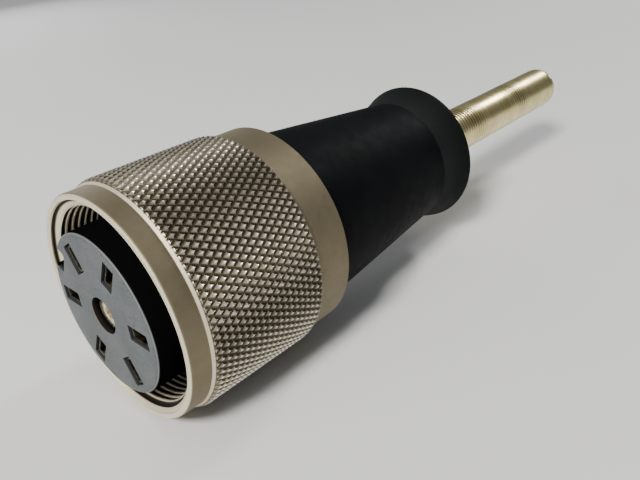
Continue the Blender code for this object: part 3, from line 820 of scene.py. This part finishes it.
def rod(paints):
    """The turned rod: ridges from a coarse tool feed, strongest by the grip, and a slotted round tip."""
    columns = 96
    turn = 2 * math.pi / columns * np.arange(columns)
    skin = Skin()
    skin.ring(0.0, ROD_REAR, 1)
    shoulder = ROD_REAR - TIP_ROUND
    round_steps = 8
    for k in range(round_steps + 1):
        a = math.pi / 2 * (1 - k / round_steps)
        radius = ROD_RADIUS - TIP_ROUND + TIP_ROUND * math.cos(a)
        skin.ring(radius, shoulder + TIP_ROUND * math.sin(a), columns)
    steps = 10  # to the millimetre
    count = round((shoulder - ROD_FRONT - ROD_CHAMFER) * steps)
    for k in range(1, count):
        depth = shoulder - k / steps
        wave = np.cos(2 * math.pi * depth / ROD_RIDGE_PITCH - turn)
        patch = 0.75 + 0.25 * np.cos(turn * 2 + depth * 0.35)
        cut_depth = ROD_RIDGE * ridge_strength(depth) * patch * (0.5 + 0.5 * wave)
        skin.ring(ROD_RADIUS - cut_depth, depth, columns)
    skin.ring(ROD_RADIUS, ROD_FRONT + ROD_CHAMFER, columns)
    skin.ring(ROD_RADIUS - ROD_CHAMFER, ROD_FRONT, columns)
    skin.ring(0.0, ROD_FRONT, 1)
    obj = make_object(
        "turned_rod", skin.points, skin.faces, paints["rod_metal"], "electrode_rod"
    )
    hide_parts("electrode_rod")
    bpy.ops.mesh.primitive_cube_add(size=1.0)
    slot = bpy.context.object
    slot.dimensions = (4 * ROD_RADIUS * MM, 2 * TIP_SLOT_DEEP * MM, TIP_SLOT_WIDE * MM)
    slot.location = (0.0, FACE_Y + ROD_REAR * MM, 0.0)
    slot.rotation_euler.y = math.radians(-TIP_SLOT_TURN)
    cut(obj, slot)


def clamp_nut(paints):
    """Hexagon nut with turned chamfers at both ends of its flats."""
    half = CLAMP_FLATS / 2
    corner = half / math.cos(math.pi / 6)
    face_radius = half - 0.1
    chamfer = corner - half - 0.1
    slope = math.tan(math.radians(30))
    columns = 144
    angles = 2 * math.pi / columns * np.arange(columns)
    flat = half / np.cos(angles % (math.pi / 3) - math.pi / 6)
    flat = np.minimum(flat, corner - 0.08)
    skin = Skin()
    skin.ring(CLAMP_BORE + 0.3, CLAMP_REAR, columns)
    skin.ring(face_radius, CLAMP_REAR, columns)
    rows = 10
    drops = [(chamfer * slope + 0.1) * k / rows for k in range(rows + 1)]
    for drop in drops:
        skin.ring(np.minimum(flat, face_radius + drop / slope), CLAMP_REAR - drop, columns)
    for rise in reversed(drops):
        skin.ring(np.minimum(flat, face_radius + rise / slope), CLAMP_FRONT + rise, columns)
    for radius, depth in (
        (CLAMP_THREAD + 0.2, CLAMP_FRONT),
        (CLAMP_THREAD, CLAMP_FRONT + 0.2),
        (CLAMP_THREAD, CLAMP_WALL),
        (CLAMP_BORE, CLAMP_WALL),
        (CLAMP_BORE, CLAMP_REAR - 0.3),
    ):
        skin.ring(radius, depth, columns)
    skin.close()
    nickel = paints["satin_nickel"]
    obj = make_object(
        "clamp_hexagon", skin.points, skin.faces, nickel, "clamp_nut", sharp=20.0
    )
    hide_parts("clamp_nut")


def dress_cad_nodes(paints):
    """CAD nodes that stay get their finish, softened edges and smooth round sides."""
    slots = {row["node"]: row["material_slot"] for row in frame["record"]["subparts"]}
    for name, obj in frame["nodes"].items():
        if obj.hide_render:
            continue
        obj.data.materials.clear()
        obj.data.materials.append(paints[slots[name]])
        weld = obj.modifiers.new("Weld", "WELD")
        weld.merge_threshold = 0.000001
        bevel = obj.modifiers.new("Bevel", "BEVEL")
        bevel.width = 0.00006
        bevel.segments = 2
        bevel.limit_method = "ANGLE"
        bevel.angle_limit = math.radians(35)
        bevel.harden_normals = True
        shade(obj.data, 35.0)


# ---------------------------------------------------------------- stage


def floor():
    paint = Paint("pale_floor")
    tone = paint.mix(paint.noise(0.01, 3.0), (0.74, 0.74, 0.73), (0.78, 0.78, 0.77))
    material = paint.finish(tone, 0.7, 0.0, paint.bump(paint.noise(0.6, 3.0), 0.1, 0.1))
    bpy.ops.mesh.primitive_plane_add(size=4.0, location=(0.0, 0.0, cad_low.z - 0.0002))
    plane = bpy.context.object
    plane.name = "floor"
    plane.data.materials.append(material)


def area_light(name, place, aim, size, power, colour=(1.0, 1.0, 1.0)):
    data = bpy.data.lights.new(name, "AREA")
    data.shape = "RECTANGLE"
    data.size, data.size_y = size
    data.energy = power
    data.color = colour
    obj = bpy.data.objects.new(name, data)
    bpy.context.scene.collection.objects.link(obj)
    obj.location = place
    obj.rotation_euler = (Vector(aim) - Vector(place)).to_track_quat("-Z", "Y").to_euler()


def studio_world():
    """A dim grey room that is brighter in front of the socket, above it and to its left."""
    world = bpy.data.worlds.new("studio")
    bpy.context.scene.world = world
    world.use_nodes = True
    nodes, links = world.node_tree.nodes, world.node_tree.links
    toward = nodes.new("ShaderNodeVectorMath")
    toward.operation = "DOT_PRODUCT"
    toward.inputs[1].default_value = Vector((-0.45, -0.75, 0.40)).normalized()
    links.new(nodes.new("ShaderNodeTexCoord").outputs["Generated"], toward.inputs[0])
    ramp = nodes.new("ShaderNodeMapRange")
    ramp.interpolation_type = "SMOOTHSTEP"
    ramp.inputs["From Min"].default_value = -0.5
    ramp.inputs["From Max"].default_value = 0.9
    ramp.inputs["To Min"].default_value = 0.14
    ramp.inputs["To Max"].default_value = 0.42
    links.new(toward.outputs["Value"], ramp.inputs["Value"])
    background = nodes["Background"]
    background.inputs["Color"].default_value = (0.95, 0.97, 1.0, 1.0)
    links.new(ramp.outputs["Result"], background.inputs["Strength"])


def lights():
    studio_world()
    centre = (0.0, 0.0, 0.0)
    area_light("key", (0.16, -0.44, 0.42), centre, (0.12, 0.12), 5.0, (1.0, 0.98, 0.94))
    area_light("left", (-0.52, 0.05, 0.20), centre, (0.30, 0.30), 0.8)
    area_light("rear", (0.02, 0.58, 0.42), (0.0, 0.03, 0.0), (0.12, 0.12), 2.0)


def camera():
    """The camera looks back along the holder from in front of the socket, to its right and above."""
    azimuth, elevation, roll = 45.72, 27.67, -5.79
    aim = Vector((3.34, -23.48, -4.56)) * MM
    distance = 107.86 * MM
    data = bpy.data.cameras.new("camera")
    data.sensor_width = 36.0
    data.lens = 36.36
    data.clip_start = 0.005
    obj = bpy.data.objects.new("camera", data)
    bpy.context.scene.collection.objects.link(obj)
    a, e = math.radians(azimuth), math.radians(elevation)
    back = Vector((math.sin(a) * math.cos(e), -math.cos(a) * math.cos(e), math.sin(e)))
    turn = (-back).to_track_quat("-Z", "Y").to_matrix().to_4x4()
    tilt = Matrix.Rotation(math.radians(roll), 4, "Z")
    obj.matrix_world = Matrix.Translation(aim + back * distance) @ turn @ tilt
    bpy.context.scene.camera = obj


paints = make_paints()
coupling_nut(paints)
socket_insert(paints)
grip(paints)
rod(paints)
clamp_nut(paints)
dress_cad_nodes(paints)
floor()
lights()
camera()
